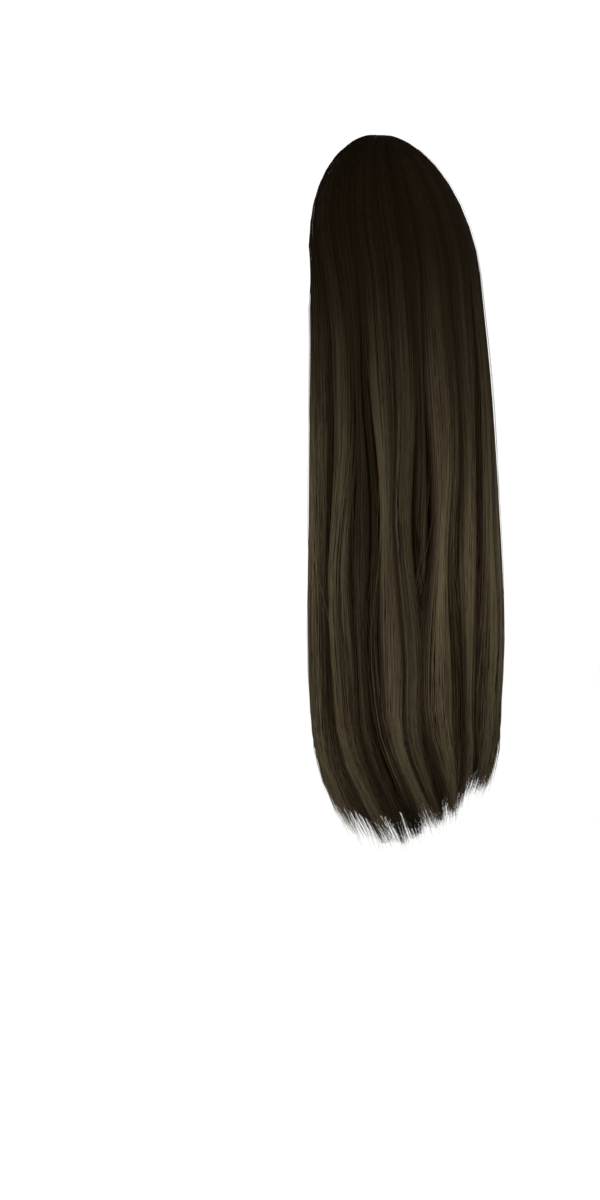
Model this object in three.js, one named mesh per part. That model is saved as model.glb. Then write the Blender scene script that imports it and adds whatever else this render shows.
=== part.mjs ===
// A long straight ponytail hairpiece. An oval net cap with a small comb sits on the back of the crown,
// the bound roots of the hair stand on the cap, and the hair rises from them, turns over in a rounded
// crown and falls in two layers of locks round an open hollow for the back of the head and the neck.
// Millimetres and degrees. +Z is up, the wearer faces +Y, and the origin is the middle of the cap's mouth,
// on the scalp. Round the hair, angle 0 is the middle of the back, and the wearer's left is positive.
import * as THREE from "three";

// Outer form of the hair
const CROWN = { baseZ: -25, height: 92, apexBack: 6 };
const FLATNESS = 0.667; // half depth, front to back, over half width across
// How far round the hair reaches each way, over the crown and on the fall
const WRAP = { crown: 180, fall: 124, partZ: 48, fallZ: -80, power: 3 };
const FALL = [
  { z: -25, across: 71, back: 19 },
  { z: -100, across: 77, back: 22 },
  { z: -180, across: 81, back: 24 },
  { z: -260, across: 84, back: 25.5 },
  { z: -320, across: 81, back: 25 },
  { z: -356, across: 76, back: 25.5 },
  { z: -395, across: 66, back: 26 },
];

// Outer locks, from the left edge of the hollow round the back to the right edge. The angles are those of
// the lock's far edge high on the fall, low on it and at the tips; lift stands a lock proud of its
// neighbours or sinks it between them, and end is the height of its tips.
const FIRST_EDGE = { high: 124, low: 124, tip: 122 };
const OUTER_LOCKS = [
  { high: 93, low: 95, tip: 86, lift: 2.5, end: -375 },
  { high: 75, low: 76, tip: 63, lift: 1.5, end: -385 },
  { high: 69, low: 66, tip: 50, lift: -3, end: -388 },
  { high: 64, low: 57, tip: 40, lift: -4, end: -390 },
  { high: 49, low: 47, tip: 22, lift: 2.5, end: -391 },
  { high: 36, low: 36, tip: 14, lift: 1, end: -388 },
  { high: 27, low: 29, tip: 9, lift: -4, end: -383 },
  { high: 12, low: 15, tip: 1, lift: 2.5, end: -382 },
  { high: 4, low: 7, tip: -4, lift: -2.5, end: -376 },
  { high: -10, low: -3, tip: -9, lift: 1.5, end: -372 },
  { high: -18, low: -12, tip: -16, lift: -4, end: -346 },
  { high: -32, low: -28, tip: -29, lift: 2, end: -361 },
  { high: -46, low: -44, tip: -43, lift: 1.5, end: -360 },
  { high: -58, low: -57, tip: -56, lift: 2.5, end: -354 },
  { high: -70, low: -70, tip: -69, lift: -3, end: -346 },
  { high: -85, low: -85, tip: -83, lift: 1.5, end: -342 },
  { high: -103, low: -104, tip: -100, lift: 0, end: -350 },
  { high: -113, low: -114, tip: -109, lift: 1.5, end: -362 },
  { high: -124, low: -124, tip: -118, lift: 1, end: -366 },
];
const PROUDEST = 2.5; // lift of the locks that make the outline
// Outer layer, in the middle of the back and at the front edges, which are thinner over the crown
const OUTER_THICKNESS = { back: 15, edge: 11, crownEdge: 7.5, fallZ: -90, crownZ: -10 };
const OUTER_CLEAR = 0.35; // room on each side of a lock
const GROOVE = { depth: 5, share: 0.22 }; // dip at a lock's edges, at most that share of its width

// Inner layer: even locks behind the outer ones, thickest in the middle of the back and thin under the crown
const INNER = { count: 8, reach: 80, thickness: 24, edgeThickness: 5, end: -350, stagger: 8 };
const INNER_TOP = { z: 40, fullZ: -110, share: 0.35 };
const INNER_ROOM = { behind: 2.2, clear: 1.4 }; // behind the outer layer, and on each side of a lock

// How the locks run
const DRIFT = { highZ: -100, lowZ: -240, sweepZ: -310, tipZ: -392 };
const TAPER = { length: 80, width: 0.86, thickness: 0.45 };
const FALL_STEP = 29;
const OUTER_START = 10; // degrees down from the top of the crown
const INNER_START = 26;
const CROWN_STEPS = 7;
const ARC = { outer: [0, 0.25, 0.5, 0.75, 1], inner: [1, 0.5, 0] };

// Cap, roots and comb
const CAP = { across: 38, deep: 24, height: 20, wall: 2, tilt: 40, sides: 28, rows: 6 };
const ROOTS = { across: 8.5, sides: 18, gap: 0.6, onCap: 4, topZ: 65.4, neckZ: 45, neck: 0.85, dome: 1.1 };
const COMB = { half: 24, spine: 5, thickness: 1.8, above: 1.2, gap: 1, teeth: 13, tooth: 1.7, reach: 12 };

const HAIR = { color: 0x2c2418, roughness: 0.45, metalness: 0 };
const NET = { color: 0x17130f, roughness: 0.9, metalness: 0 };
const PLASTIC = { color: 0x2a1d12, roughness: 0.35, metalness: 0 };

const radians = THREE.MathUtils.degToRad;
const { lerp, smoothstep } = THREE.MathUtils;

// A closed solid through rings of equal length, each counter-clockwise seen from where the rings start.
function loft(rings) {
  const count = rings[0].length;
  const points = rings.flat();
  const faces = [];
  for (let r = 0; r < rings.length - 1; r++) {
    for (let i = 0; i < count; i++) {
      const a = r * count + i;
      const b = r * count + ((i + 1) % count);
      faces.push(a, a + count, b, b, a + count, b + count);
    }
  }
  const closeEnd = (ring, first, turn) => {
    const middle = ring.reduce((sum, p) => sum.add(p), new THREE.Vector3()).divideScalar(count);
    points.push(middle);
    for (let i = 0; i < count; i++) {
      const side = [first + i, first + ((i + 1) % count)];
      faces.push(points.length - 1, ...(turn ? side.reverse() : side));
    }
  };
  closeEnd(rings[0], 0, false);
  closeEnd(rings.at(-1), (rings.length - 1) * count, true);
  return new THREE.BufferGeometry().setFromPoints(points).setIndex(faces);
}

// The value of a column of FALL at a height, on a smooth curve through its rows.
function fallValue(column, z) {
  const last = FALL.length - 1;
  const found = FALL.findIndex((row) => z > row.z);
  const i = THREE.MathUtils.clamp(found === -1 ? last : found, 1, last);
  const slope = (k) => {
    const [above, below] = [FALL[Math.max(k - 1, 0)], FALL[Math.min(k + 1, last)]];
    return (below[column] - above[column]) / (below.z - above.z);
  };
  const span = FALL[i].z - FALL[i - 1].z;
  const t = THREE.MathUtils.clamp((z - FALL[i - 1].z) / span, 0, 1);
  return (
    FALL[i - 1][column] * (1 + 2 * t) * (1 - t) ** 2 +
    FALL[i][column] * t * t * (3 - 2 * t) +
    span * (slope(i - 1) * t * (1 - t) ** 2 - slope(i) * t * t * (1 - t))
  );
}

// The hair's level section: a half ellipsoid over the crown, and the table below it.
function sectionAt(z) {
  if (z < CROWN.baseZ) {
    const back = fallValue("back", z);
    return { across: fallValue("across", z), back, pivot: new THREE.Vector3(0, -back, z) };
  }
  const rise = Math.min((z - CROWN.baseZ) / CROWN.height, 1);
  return {
    across: FALL[0].across * Math.sqrt(1 - rise * rise),
    back: lerp(FALL[0].back, CROWN.apexBack, rise),
    pivot: new THREE.Vector3(0, -FALL[0].back, CROWN.baseZ),
  };
}

// A point of the hair: so far round, at a height of the outer form, and so deep under it.
function hairPoint(angle, z, depth) {
  const { across, back, pivot } = sectionAt(z);
  const turn = radians(angle);
  const deep = across * FLATNESS;
  const surface = new THREE.Vector3(-across * Math.sin(turn), -back - deep * Math.cos(turn), z);
  return surface.lerp(pivot, depth / surface.distanceTo(pivot));
}

// Where an edge between two locks is at a height. Over the crown the edges spread as the wrap does, those
// nearest the front the most.
function edgeAngle(edge, z) {
  const drifted = lerp(edge.high, edge.low, 1 - smoothstep(z, DRIFT.lowZ, DRIFT.highZ));
  const swept = THREE.MathUtils.clamp((DRIFT.sweepZ - z) / (DRIFT.sweepZ - DRIFT.tipZ), 0, 1);
  const angle = lerp(drifted, edge.tip, swept * swept);
  const spread = (WRAP.crown - WRAP.fall) * smoothstep(z, WRAP.fallZ, WRAP.partZ);
  return angle + spread * (angle / WRAP.fall) ** WRAP.power;
}

function outerThickness(angle, z) {
  const { back, edge, crownEdge, fallZ, crownZ } = OUTER_THICKNESS;
  const thin = lerp(edge, crownEdge, smoothstep(z, fallZ, crownZ));
  return lerp(back, thin, Math.min(Math.abs(angle) / WRAP.fall, 1));
}

// Heights of a lock's sections: over the crown by equal turns, then down the fall by equal steps to its end.
function stations(start, end) {
  const crown = Array.from({ length: CROWN_STEPS }, (_, i) => {
    const turn = radians(lerp(start, 90, i / CROWN_STEPS));
    return CROWN.baseZ + CROWN.height * Math.cos(turn);
  });
  const steps = Math.round((CROWN.baseZ - end) / FALL_STEP);
  const fall = Array.from({ length: steps }, (_, i) => CROWN.baseZ - i * FALL_STEP);
  return [...crown, ...fall, end];
}

// A lock between two edges. Its depths, from the outer form, are functions of the angle, of the place
// across the lock, from 0 to 1, and of the height.
function lockGeometry({ left, right, start, end, clear, outside, inside }) {
  const rings = stations(start, end).map((z) => {
    const spread = Math.min(sectionAt(z).across / FALL[0].across, 1);
    const ending = 1 - smoothstep(z, end, end + TAPER.length);
    const across = Math.max(sectionAt(z).across, 1);
    const gap = THREE.MathUtils.radToDeg(clear / (across * FLATNESS));
    const [from, to] = [edgeAngle(left, z) - gap, edgeAngle(right, z) + gap];
    const narrow = lerp(1, TAPER.width, ending);
    const width = across * radians(from - to);
    const at = (f) => lerp(from, to, 0.5 + (f - 0.5) * narrow);
    const front = (f) => outside(at(f), f, width, spread);
    const behind = (f) => lerp(inside(at(f), z), front(f), ending * (1 - TAPER.thickness));
    return [
      ...ARC.outer.map((f) => hairPoint(at(f), z, front(f))),
      ...ARC.inner.map((f) => hairPoint(at(f), z, behind(f))),
    ];
  });
  return loft(rings);
}

function outerLock(row, index) {
  return lockGeometry({
    left: index ? OUTER_LOCKS[index - 1] : FIRST_EDGE,
    right: row,
    start: OUTER_START,
    end: row.end,
    clear: OUTER_CLEAR,
    outside: (angle, f, width, spread) => {
      const dip = Math.min(GROOVE.depth, GROOVE.share * width);
      return (PROUDEST - row.lift + dip * (2 * f - 1) ** 2) * spread;
    },
    inside: outerThickness,
  });
}

function innerLock(index) {
  const edge = (k) => {
    const angle = lerp(INNER.reach, -INNER.reach, k / INNER.count);
    return { high: angle, low: angle, tip: angle };
  };
  const front = (angle) => outerThickness(angle, OUTER_THICKNESS.fallZ) + INNER_ROOM.behind;
  return lockGeometry({
    left: edge(index),
    right: edge(index + 1),
    start: INNER_START,
    end: INNER.end + INNER.stagger * (index % 2),
    clear: INNER_ROOM.clear,
    outside: front,
    inside: (angle, z) => {
      const middle = Math.cos(radians(90 * Math.min(Math.abs(angle) / INNER.reach, 1)));
      const full = lerp(INNER_TOP.share, 1, 1 - smoothstep(z, INNER_TOP.fullZ, INNER_TOP.z));
      return front(angle) + full * lerp(INNER.edgeThickness, INNER.thickness, middle);
    },
  });
}

// A level oval ring of points, counter-clockwise from above.
function oval(across, deep, z, sides) {
  return Array.from({ length: sides }, (_, i) => {
    const turn = (2 * Math.PI * i) / sides;
    return new THREE.Vector3(across * Math.cos(turn), deep * Math.sin(turn), z);
  });
}

// The net cap in its own frame: a half ellipsoid of even wall, open towards the scalp.
function capGeometry() {
  const rows = Array.from({ length: CAP.rows }, (_, i) => radians((90 * (i + 0.4)) / (CAP.rows - 0.6)));
  const wall = (inset, turns) =>
    turns.map((turn) => {
      const [across, deep, height] = [CAP.across - inset, CAP.deep - inset, CAP.height - inset];
      return oval(across * Math.sin(turn), deep * Math.sin(turn), height * Math.cos(turn), CAP.sides);
    });
  return loft([...wall(0, rows), ...wall(CAP.wall, rows.toReversed())]);
}

// The bound roots, which stand on the cap and flare into the top of the crown.
function rootsGeometry() {
  const deep = ROOTS.across * FLATNESS;
  const foot = oval(ROOTS.across, deep, 0, ROOTS.sides).map((p) => {
    const y = p.y + ROOTS.onCap;
    const height = CAP.height * Math.sqrt(1 - (p.x / CAP.across) ** 2 - (y / CAP.deep) ** 2);
    return new THREE.Vector3(p.x, y, height + ROOTS.gap).applyAxisAngle(
      new THREE.Vector3(1, 0, 0),
      radians(CAP.tilt),
    );
  });
  const ring = (share, z) => {
    const { back } = sectionAt(z);
    return oval(ROOTS.across * share, deep * share, z, ROOTS.sides).map((p) => p.setY(p.y - back));
  };
  const top = CROWN.baseZ + CROWN.height;
  return loft([
    ring(ROOTS.neck / 2, (ROOTS.topZ + top) / 2),
    ring(ROOTS.dome, ROOTS.topZ),
    ring(ROOTS.neck, ROOTS.neckZ),
    foot,
  ]);
}

// The comb's flat outline: a spine that follows the inside of the cap's front edge, and a row of teeth.
function combGeometry() {
  const room = CAP.wall + COMB.gap;
  const edge = (x) => (CAP.deep - room) * Math.sqrt(1 - (x / (CAP.across - room)) ** 2);
  const outline = new THREE.Shape();
  const pitch = (2 * COMB.half - COMB.tooth) / (COMB.teeth - 1);
  const toothEnd = edge(COMB.half) - COMB.spine - COMB.reach;
  outline.moveTo(-COMB.half, edge(COMB.half));
  for (let i = 0; i < COMB.teeth; i++) {
    const x = -COMB.half + i * pitch;
    const root = edge(Math.min(Math.abs(x), Math.abs(x + COMB.tooth))) - COMB.spine;
    outline.lineTo(x, root);
    outline.lineTo(x + COMB.tooth * 0.25, toothEnd);
    outline.lineTo(x + COMB.tooth * 0.75, toothEnd);
    outline.lineTo(x + COMB.tooth, root);
  }
  for (let i = 0; i < COMB.teeth; i++) {
    const x = COMB.half - i * pitch;
    outline.lineTo(x, edge(x));
  }
  outline.closePath();
  return new THREE.ExtrudeGeometry(outline, { depth: COMB.thickness, bevelEnabled: false });
}

function piece(name, geometry, finish) {
  const mesh = new THREE.Mesh(geometry, new THREE.MeshStandardMaterial(finish));
  mesh.name = name;
  return mesh;
}

function numbered(name, index) {
  return `${name}_${String(index + 1).padStart(2, "0")}`;
}

const seat = new THREE.Group();
seat.rotation.x = radians(CAP.tilt);
const comb = piece("comb", combGeometry(), PLASTIC);
comb.position.z = COMB.above;
seat.add(piece("base_cap", capGeometry(), NET), comb);

const hairpiece = new THREE.Group();
hairpiece.add(seat, piece("root_tuft", rootsGeometry(), HAIR));
OUTER_LOCKS.forEach((row, i) => hairpiece.add(piece(numbered("outer_lock", i), outerLock(row, i), HAIR)));
for (let i = 0; i < INNER.count; i++) {
  hairpiece.add(piece(numbered("inner_lock", i), innerLock(i), HAIR));
}

export default hairpiece;
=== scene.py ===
"""A long straight ponytail hairpiece: fibres in locks over a rounded crown, on a net cap with a comb."""
import math

import bmesh
import bpy
import numpy as np
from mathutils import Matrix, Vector


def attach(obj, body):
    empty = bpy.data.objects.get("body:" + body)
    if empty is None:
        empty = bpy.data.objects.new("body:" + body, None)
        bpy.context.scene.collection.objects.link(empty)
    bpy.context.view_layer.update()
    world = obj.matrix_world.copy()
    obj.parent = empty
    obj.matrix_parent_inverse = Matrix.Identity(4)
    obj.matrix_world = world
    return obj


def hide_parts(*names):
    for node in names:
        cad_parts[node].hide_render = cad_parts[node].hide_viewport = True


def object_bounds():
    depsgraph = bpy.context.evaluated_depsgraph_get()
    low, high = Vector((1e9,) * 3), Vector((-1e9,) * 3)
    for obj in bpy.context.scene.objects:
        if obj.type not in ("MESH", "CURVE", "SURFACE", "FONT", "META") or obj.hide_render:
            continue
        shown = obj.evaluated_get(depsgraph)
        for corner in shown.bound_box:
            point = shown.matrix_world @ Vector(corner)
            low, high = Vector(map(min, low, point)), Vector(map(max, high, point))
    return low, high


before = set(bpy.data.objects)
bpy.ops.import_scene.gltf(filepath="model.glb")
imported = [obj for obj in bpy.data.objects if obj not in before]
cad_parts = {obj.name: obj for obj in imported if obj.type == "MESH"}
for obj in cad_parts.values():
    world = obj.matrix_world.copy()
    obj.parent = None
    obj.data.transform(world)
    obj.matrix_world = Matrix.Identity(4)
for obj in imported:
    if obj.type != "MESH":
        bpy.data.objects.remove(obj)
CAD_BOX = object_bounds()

bl_info = {
    "name": "Ponytail Hairpiece",
    "version": (1, 0, 0),
    "blender": (4, 5, 0),
    "location": "3D View > Sidebar > Ponytail",
    "description": "Makes the fibres, net cap and comb of a ponytail hairpiece round its packed model",
    "category": "Add Mesh",
}

BODY = "root"
MM = 0.001

# Outer form of the hair, in millimetres and degrees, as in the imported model. Angle 0 is the middle of the
# back, and the wearer's left is positive.
CROWN = {"base": -25, "height": 92, "apex_back": 6}
FLATNESS = 0.667
WRAP = {"crown": 180, "fall": 124, "part": 48, "low": -80, "power": 3}
FALL = [
    {"z": -25, "across": 71, "back": 19},
    {"z": -100, "across": 77, "back": 22},
    {"z": -180, "across": 81, "back": 24},
    {"z": -260, "across": 84, "back": 25.5},
    {"z": -320, "across": 81, "back": 25},
    {"z": -356, "across": 76, "back": 25.5},
    {"z": -395, "across": 66, "back": 26},
]
MIDDLE_OF_FALL = FALL[2]
DRIFT = {"high": -100, "low": -240, "sweep": -310, "tip": -392}

# Outer locks: the far edge's angle high on the fall, low on it and at the tips, how proud the lock stands,
# the height of its tips, and how light its fibres look beside the others, from -1 to 1.
FIRST_EDGE = {"high": 124, "low": 124, "tip": 122}
# A lock's tone is partly its own and partly painted light: sunk locks are darker as painted shade, proud ones
# lighter
OUTER_LOCKS = [
    {"high": 93, "low": 95, "tip": 86, "lift": 2.5, "end": -375, "tone": 0.4},
    {"high": 75, "low": 76, "tip": 63, "lift": 1.5, "end": -385, "tone": 0.5},
    {"high": 69, "low": 66, "tip": 50, "lift": -3, "end": -388, "tone": -0.6},
    {"high": 64, "low": 57, "tip": 40, "lift": -4, "end": -390, "tone": -0.75},
    {"high": 49, "low": 47, "tip": 22, "lift": 2.5, "end": -391, "tone": 0.65},
    {"high": 36, "low": 36, "tip": 14, "lift": 1, "end": -388, "tone": 0.25},
    {"high": 27, "low": 29, "tip": 9, "lift": -4, "end": -383, "tone": -0.95},
    {"high": 12, "low": 15, "tip": 1, "lift": 2.5, "end": -382, "tone": 0.7},
    {"high": 4, "low": 7, "tip": -4, "lift": -2.5, "end": -376, "tone": -0.4},
    {"high": -10, "low": -3, "tip": -9, "lift": 1.5, "end": -372, "tone": 0.5},
    {"high": -18, "low": -12, "tip": -16, "lift": -4, "end": -346, "tone": -0.8},
    {"high": -32, "low": -28, "tip": -29, "lift": 2, "end": -361, "tone": 0.7},
    {"high": -46, "low": -44, "tip": -43, "lift": 1.5, "end": -360, "tone": 0.5},
    {"high": -58, "low": -57, "tip": -56, "lift": 2.5, "end": -354, "tone": 0.5},
    {"high": -70, "low": -70, "tip": -69, "lift": -3, "end": -346, "tone": -0.5},
    {"high": -85, "low": -85, "tip": -83, "lift": 1.5, "end": -342, "tone": 0.4},
    {"high": -103, "low": -104, "tip": -100, "lift": 0, "end": -350, "tone": -0.1},
    {"high": -113, "low": -114, "tip": -109, "lift": 1.5, "end": -362, "tone": -0.3},
    {"high": -124, "low": -124, "tip": -118, "lift": 1, "end": -366, "tone": 0.1},
]

# The line that the outer locks' longest tips follow, by the angle at the tips
HEM_LINE = [
    {"tip": 122, "z": -372},
    {"tip": 112, "z": -380},
    {"tip": 104, "z": -387},
    {"tip": 82, "z": -391},
    {"tip": 64, "z": -391},
    {"tip": 47, "z": -385},
    {"tip": 27, "z": -381},
    {"tip": 8, "z": -375},
    {"tip": -6, "z": -370},
    {"tip": -12, "z": -333},
    {"tip": -18, "z": -338},
    {"tip": -28, "z": -359},
    {"tip": -48, "z": -358},
    {"tip": -62, "z": -345},
    {"tip": -76, "z": -340},
    {"tip": -91, "z": -347},
    {"tip": -118, "z": -362},
]

# Depths under the form: of the outer locks on the fall and over the crown, of the grooves between them and of
# their inner faces, and then of the inner locks
SKIN = {"fall": 1.8, "crown": 0.3, "low": -260, "high": -60}
GROOVE = {"depth": 5, "share": 0.22}
CROWN_RELIEF = 0.15
OUTER_THICKNESS = {"back": 15, "edge": 11, "crown_edge": 7.5, "fall": -90, "crown": -10}
INNER = {"count": 8, "reach": 80, "thickness": 24, "edge": 5, "end": -350, "stagger": 8, "behind": 2.2}
INNER_TOP = {"z": 40, "full": -110, "share": 0.35}
# Painted shade: the inner locks are darker, lying under the outer layer
INNER_SHADE = -0.5

# How fibres lie in a lock, in millimetres, degrees and shares of the lock's width or the fibre's length
CROWN_POINTS = 8
FALL_POINTS = 16
CROWN_SHARE = 0.22
START = {"first": 3, "spread": 13}
DIVE = {"depth": 7, "over": 16}
OUTER_LAYERS = {"skin": 0.74, "inside": 0.16, "deep": 0.17}
INNER_LAYERS = {"skin": 0.1, "inside": 0.65, "deep": 0.2}
CLUMP = {"width": 6, "fewest": 2, "ridge": 1.0, "jitter": 0.3}
GATHER = 0.2
SPLAY = {"from": 0.6, "ends": 0.3, "crown": 0.25}
WANDER = {"reach": 0.08, "slowest": 0.6, "fastest": 2.2}
SWAY = {"reach": 0.16, "rate": 1.3}
CROSS = {"share": 0.16, "reach": 1.1, "leave": (0.25, 0.5), "arrive": (0.65, 0.95)}
STRAY = {"share": 0.025, "out": 1.6, "sway": 2.2, "thin": 0.6}
HEM = {"length": 40, "skew": 2.6, "clump": 4, "fan": 1.8, "from": 0.86, "below": 9}
WISP = {"points": 5, "length": 60, "longest": -13, "shortest": 14, "lean": 0.1, "thin": 0.62, "tip": 0.12}
CURL = {"top": -315, "tip": -395, "turn": 18, "none": -40, "full": 25, "under": 13}
EDGE_WAVE = {"turn": 2.4, "length": 190, "step": 0.618}
FIBRE = {"thinnest": 0.7, "thickest": 1.15, "sides": 3}
TAPER = {"length": 0.055, "tip": 0.16, "root": 0.7, "root_length": 0.2}

# How light fibres are, from 0 to 1, and where the fall's colours fade into the crown's darker ones, which are
# partly the fibres' own tone and partly painted shade
TONE = {"middle": 0.5, "lock": 0.36, "clump": 0.08, "fibre": 0.12, "stray": 0.2}
CROWN_CONTRAST = 0.65
# Painted light: fibres are lighter along a lock's crest as painted highlight and darker towards its grooves
# as painted shade
PAINTED_CREST = {"lighter": 0.1, "groove": 0.5, "power": 2.5}
# Painted shade: fibres under others are darker, less so towards the tips, where they show
UNDER_SHADE = {"darker": 0.4, "layer": 0.3, "from": 0.82, "ends": 0.3}
TONE_DRIFT = {"reach": 0.12, "slowest": 1, "fastest": 2.4}
FADE = {"low": -215, "high": 10}

# The body under a lock's fibres, in millimetres, degrees and shares of the lock's width
# Its shade is dark: painted shade of the deep hair seen between the fibres
LOCK_CORE = {"inset": 1.1, "start": 8, "taper": 60, "thin": 0.4, "margin": 0.01, "shade": 0.1}
CORE_ENDS = {"longest": 4, "shortest": 20}
CORE_RINGS = {"crown": 12, "fall": 24}
CORE_ARC = {"outer": 25, "step": 2}

# Bound roots and the whorl over the top, in millimetres and degrees
ROOTS = {"seed": 100, "across": 8.5, "on_cap": 4, "gap": 0.6, "neck_z": 45, "neck": 0.85, "loose": 0.12}
ROOT_STEPS = [
    {"z": 34, "share": 0.92},
    {"z": ROOTS["neck_z"], "share": ROOTS["neck"]},
    {"z": 52, "share": 0.88},
    {"z": 59, "share": 0.952},
    {"z": 64.8, "share": 1.1},
]
# The roots' core is darker than their fibres, as painted shade under them
ROOT_TONE = {"fibre": 0.18, "fade": 0.1, "core": 0.2}
ROOT_CORE = {"share": 0.9, "sides": 36}
BINDING = {"turns": 7, "points": 28, "thread": 0.9, "out": 0.35, "sides": 8}
WHORL = {"count": 320, "points": 8, "first": 0.02, "shortest": 20, "longest": 36, "twist": 12}
WHORL_DEPTH = {"sunk": 3, "rise": 9, "dive": 1.2, "from": 0.6}
WHORL_LOOK = {"tone": 0.15, "taper": 0.7}

# Cap and comb, in millimetres and degrees, with the cap's own frame standing on its mouth
CAP = {"across": 38, "deep": 24, "height": 20, "wall": 2, "tilt": 40}
CAP_WALL = {"around": 72, "rings": 14, "top": 0.97, "inset": 0.5}
NET = {"points": 18, "first": 0.02, "last": 0.93, "lean": 1.1, "inset": 0.35, "sides": 5}
RIM = {"points": 96, "slope": 0.004, "sides": 10}
SEAM = {"up": 1.9, "out": 0.25, "width": 0.7, "slant": 35}
STITCH = {"overlap": 1.25, "segments": 6, "rings": 4}
COMB = {"half": 24, "spine": 5, "thickness": 1.8, "above": 1.2, "gap": 1}
COMB_LEVEL = COMB["above"] + COMB["thickness"] / 2
COMB_SPINE = {"round": 0.8, "rings": 41, "around": 24, "corner": 24, "blunt": 0.02}
TEETH = {"count": 13, "width": 1.7, "reach": 12, "root": 0.7, "sides": 10}
TOOTH_TAPER = [
    {"along": 0, "thin": 1.0},
    {"along": 0.3, "thin": 0.95},
    {"along": 0.6, "thin": 0.85},
    {"along": 0.85, "thin": 0.7},
    {"along": 0.95, "thin": 0.5},
    {"along": 1, "thin": 0.2},
]

# The view and the lights, in metres and degrees. A light's power is the stage's setting of that name.
VIEW = {"azimuth": -55, "right": -0.0475, "height": -0.24, "distance": 4, "frame_height": 0.792, "far": 100}
SENSOR = 0.036
FLOOR_DROP = 0.24
LIGHT_TARGET = (0, -0.03, -0.16)
LIGHT_REACH = 2.4
LIGHTS = [
    {"name": "key", "power": "key", "azimuth": -58, "height": -0.15, "size": 1.0},
    {"name": "left", "power": "side", "azimuth": -118, "height": -0.1, "size": 1.2},
    {"name": "right", "power": "side", "azimuth": 6, "height": -0.1, "size": 1.2},
    {"name": "far", "power": "rim", "azimuth": 125, "height": 0.2, "size": 1.4},
]

# Blender's own numbers: the places of a mix node's colour sockets, which share their names with others, and
# how far a wave texture's phase turns in each unit
COLOUR_MIX = {"factor": 0, "first": 6, "second": 7, "result": 2}
WAVE_TURN = 20


def linear(hex_colour):
    """An sRGB hex value as linear red, green and blue."""
    parts = [int(hex_colour[i:i + 2], 16) / 255 for i in (1, 3, 5)]
    return tuple(c / 12.92 if c <= 0.04045 else ((c + 0.055) / 1.055) ** 2.4 for c in parts)


def colour_property(name, description, hex_colour):
    """A colour that a user can change, from its hex value."""
    return bpy.props.FloatVectorProperty(
        name=name, description=description, default=linear(hex_colour), size=3, subtype="COLOR", min=0, max=1)


class PonytailHair(bpy.types.PropertyGroup):
    """Sizes and colours of the fibres."""
    outer_count: bpy.props.IntProperty(
        name="Outer fibres", description="Fibres drawn in each outer lock", default=255, min=20, max=900)
    inner_count: bpy.props.IntProperty(
        name="Inner fibres", description="Fibres drawn in each inner lock", default=90, min=20, max=900)
    root_count: bpy.props.IntProperty(
        name="Root fibres", description="Fibres drawn in the bound roots", default=220, min=20, max=900)
    wisp_count: bpy.props.IntProperty(
        name="Wisps", description="Short fine fibres drawn among each lock's tips",
        default=100, min=0, max=400)
    fibre_width: bpy.props.FloatProperty(
        name="Fibre width", description="Drawn thicker than a real fibre of 0.08 mm, so that it shows",
        default=0.52 * MM, unit="LENGTH", precision=5)
    seed: bpy.props.IntProperty(name="Seed", description="Seed of the fibres' places", default=11)
    # Groove is the ramp's darkest colour and carries the painted shade between the locks and under other
    # fibres
    groove: colour_property("Groove", "Fibres deep between the locks", "#0b0602")
    fall: colour_property("Fall", "Most fibres of the fall", "#231d14")
    # Ribbon is the ramp's lightest colour and carries the painted highlight along the locks' crests
    ribbon_highlight: colour_property("Ribbon", "The lightest fibres of the fall", "#3d3628")
    # The crown's colours are darker than the fall's, partly by the fibres' own tone and partly as painted
    # shade
    crown_deep: colour_property("Crown deep", "The darkest fibres over the crown", "#0b0703")
    crown: colour_property("Crown", "The lightest fibres over the crown", "#150f08")
    roughness: bpy.props.FloatProperty(
        name="Roughness", description="Roughness of the fibre's surface", default=0.42, min=0, max=1)
    gloss: bpy.props.FloatProperty(
        name="Gloss", description="Specular level of the fibre's surface", default=0.003, min=0, max=1)


class PonytailCap(bpy.types.PropertyGroup):
    """Sizes and colours of the net cap and the comb."""
    net_lines: bpy.props.IntProperty(
        name="Net threads", description="Threads of the net each way round", default=40, min=8, max=90)
    net_thread: bpy.props.FloatProperty(
        name="Net thread", description="Width of a thread of the net", default=0.7 * MM, unit="LENGTH")
    hem_width: bpy.props.FloatProperty(
        name="Hem", description="Width of the rolled elastic hem", default=2.6 * MM, unit="LENGTH")
    stitch_pitch: bpy.props.FloatProperty(
        name="Stitch pitch", description="From one stitch of the hem to the next",
        default=2.4 * MM, unit="LENGTH")
    net: colour_property("Net", "Knitted net", "#1b1611")
    thread: colour_property("Thread", "Sewing thread of the hem", "#2b231a")
    plastic: colour_property("Plastic", "Moulded comb", "#2c1d11")


class PonytailStage(bpy.types.PropertyGroup):
    """Floor and light."""
    floor_size: bpy.props.FloatProperty(
        name="Floor", description="Width of the floor", default=60, unit="LENGTH")
    floor: colour_property("Floor colour", "Pale floor", "#fbfbfa")
    sky: bpy.props.FloatProperty(name="Sky", description="Strength of the even white light", default=1.05)
    key: bpy.props.FloatProperty(
        name="Key light", description="Power of the soft light beside the camera", default=60, unit="POWER")
    side: bpy.props.FloatProperty(
        name="Side lights", description="Power of each soft light left and right of the camera",
        default=50, unit="POWER")
    rim: bpy.props.FloatProperty(
        name="Far light", description="Power of the soft light on the far side", default=90, unit="POWER")


def smooth(value, low, high):
    """0 below low, 1 above high and a smooth step between."""
    t = np.clip((value - low) / (high - low), 0, 1)
    return t * t * (3 - 2 * t)


def mix(a, b, t):
    """From a, where t is 0, to b, where t is 1."""
    return a + (b - a) * t


def scattered(count, rng):
    """A column of places from 0 to 1, evenly spread but for a little chance."""
    return (np.arange(count)[:, None] + rng.random((count, 1))) / count


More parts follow.
